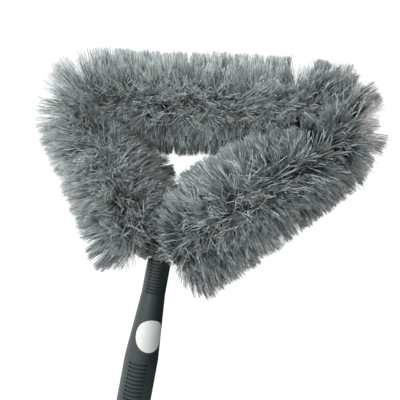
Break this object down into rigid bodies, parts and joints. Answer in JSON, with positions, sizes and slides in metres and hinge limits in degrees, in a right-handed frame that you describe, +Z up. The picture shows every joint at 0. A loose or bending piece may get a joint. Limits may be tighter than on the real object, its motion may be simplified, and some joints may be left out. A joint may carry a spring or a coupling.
{
  "type": "cobweb brush",
  "caption": "Cobweb brush: dense grey bristles on a twisted wire loop bent to a rounded triangle, on a ribbed plastic handle with a threaded socket for a pole.",
  "frame": {"origin": "on the pole socket's axis where its wall begins, 1.2 mm above the handle's lower end", "axes": "+Z up the handle's axis towards the brush, +X towards the loop's long corner, -Y towards the viewer of the picture"},
  "size_m": [0.3345, 0.1324, 0.409],
  "materials": {
    "handle_plastic": "satin",
    "plug_plastic": "matt",
    "galvanised_wire": "galvanised",
    "bristle_filament": "satin",
    "label_film": "satin"
  },
  "bodies": {
    "root": {"handle_body": "handle_plastic", "neck_plug": "plug_plastic", "core_wire_a": "galvanised_wire", "core_wire_b": "galvanised_wire", "bristles_left_leg": "bristle_filament", "bristles_left_corner": "bristle_filament", "bristles_top_leg": "bristle_filament", "bristles_right_corner": "bristle_filament", "bristles_right_leg": "bristle_filament", "round_label": "label_film"}
  },
  "joints": []
}
